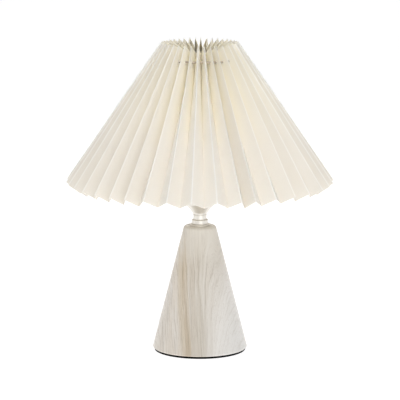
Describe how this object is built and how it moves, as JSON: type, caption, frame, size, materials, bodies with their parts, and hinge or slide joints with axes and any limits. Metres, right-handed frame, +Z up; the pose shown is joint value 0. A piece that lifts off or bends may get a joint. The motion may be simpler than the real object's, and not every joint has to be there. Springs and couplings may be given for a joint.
{
  "type": "table lamp",
  "caption": "Table lamp with a pleated paper cone shade on a wire frame, a polished neck with a screw lampholder and a turned wooden cone base on a black foot.",
  "frame": {"origin": "centre of the foot's underside, on the lamp's vertical axis", "axes": "+Z up the lamp's axis, +Y towards the rear where the cord enters the base, +X to the right seen from the front"},
  "size_m": [0.3617, 0.3618, 0.421],
  "materials": {
    "pleated_paper": "matt translucent ivory paper",
    "washed_wood": "satin white-washed turned wood with grey-brown grain",
    "polished_metal": "polished nickel",
    "foot_foam": "matt black foam",
    "zinc_steel": "zinc-plated steel",
    "white_wire": "white-lacquered steel wire",
    "ring_wire": "bare drawn steel wire",
    "holder_plastic": "white moulded thermoplastic",
    "insert_ceramic": "unglazed white ceramic",
    "brass_parts": "stamped brass",
    "grommet_plastic": "black moulded plastic",
    "opal_plastic": "opal diffuser",
    "bulb_plastic": "white moulded plastic",
    "cap_metal": "nickel-plated cap",
    "cap_glass": "black glass insulator"
  },
  "bodies": {
    "lamp": {"foot_pad": "foot_foam", "base_cone": "washed_wood", "cord_grommet": "grommet_plastic", "base_weight": "zinc_steel", "rod_washer": "zinc_steel", "rod_nut": "zinc_steel", "threaded_rod": "zinc_steel", "neck_washer": "polished_metal", "neck_collar": "polished_metal", "neck_tube": "polished_metal", "lampholder_cup": "polished_metal", "holder_cap": "holder_plastic", "holder_grub_screw": "zinc_steel", "holder_skirt": "holder_plastic", "socket_shell": "brass_parts", "holder_insert": "insert_ceramic", "terminal_clamps": "brass_parts", "terminal_screws": "zinc_steel", "centre_contact": "brass_parts"},
    "shade": {"fitter_ring": "white_wire", "frame_arm_a": "white_wire", "frame_arm_b": "white_wire", "frame_arm_c": "white_wire", "shade_top_ring": "ring_wire", "pleated_shade": "pleated_paper"},
    "ring_nut": {"shade_ring_nut": "holder_plastic"},
    "bulb": {"bulb_contact": "brass_parts", "bulb_insulator": "cap_glass", "bulb_screw_cap": "cap_metal", "bulb_housing": "bulb_plastic", "bulb_globe": "opal_plastic"}
  },
  "joints": [
    {"name": "shade_swivel", "type": "hinge", "parent": "lamp", "child": "shade", "pos_m": [0, 0, 0.2207], "axis": [0, 0, 1], "continuous": true},
    {"name": "ring_nut_turn", "type": "hinge", "parent": "lamp", "child": "ring_nut", "pos_m": [0, 0, 0.2222], "axis": [0, 0, 1], "range_deg": [0, 2650]},
    {"name": "bulb_turn", "type": "hinge", "parent": "lamp", "child": "bulb", "pos_m": [0, 0, 0.2179], "axis": [0, 0, 1], "range_deg": [0, 1860]}
  ]
}
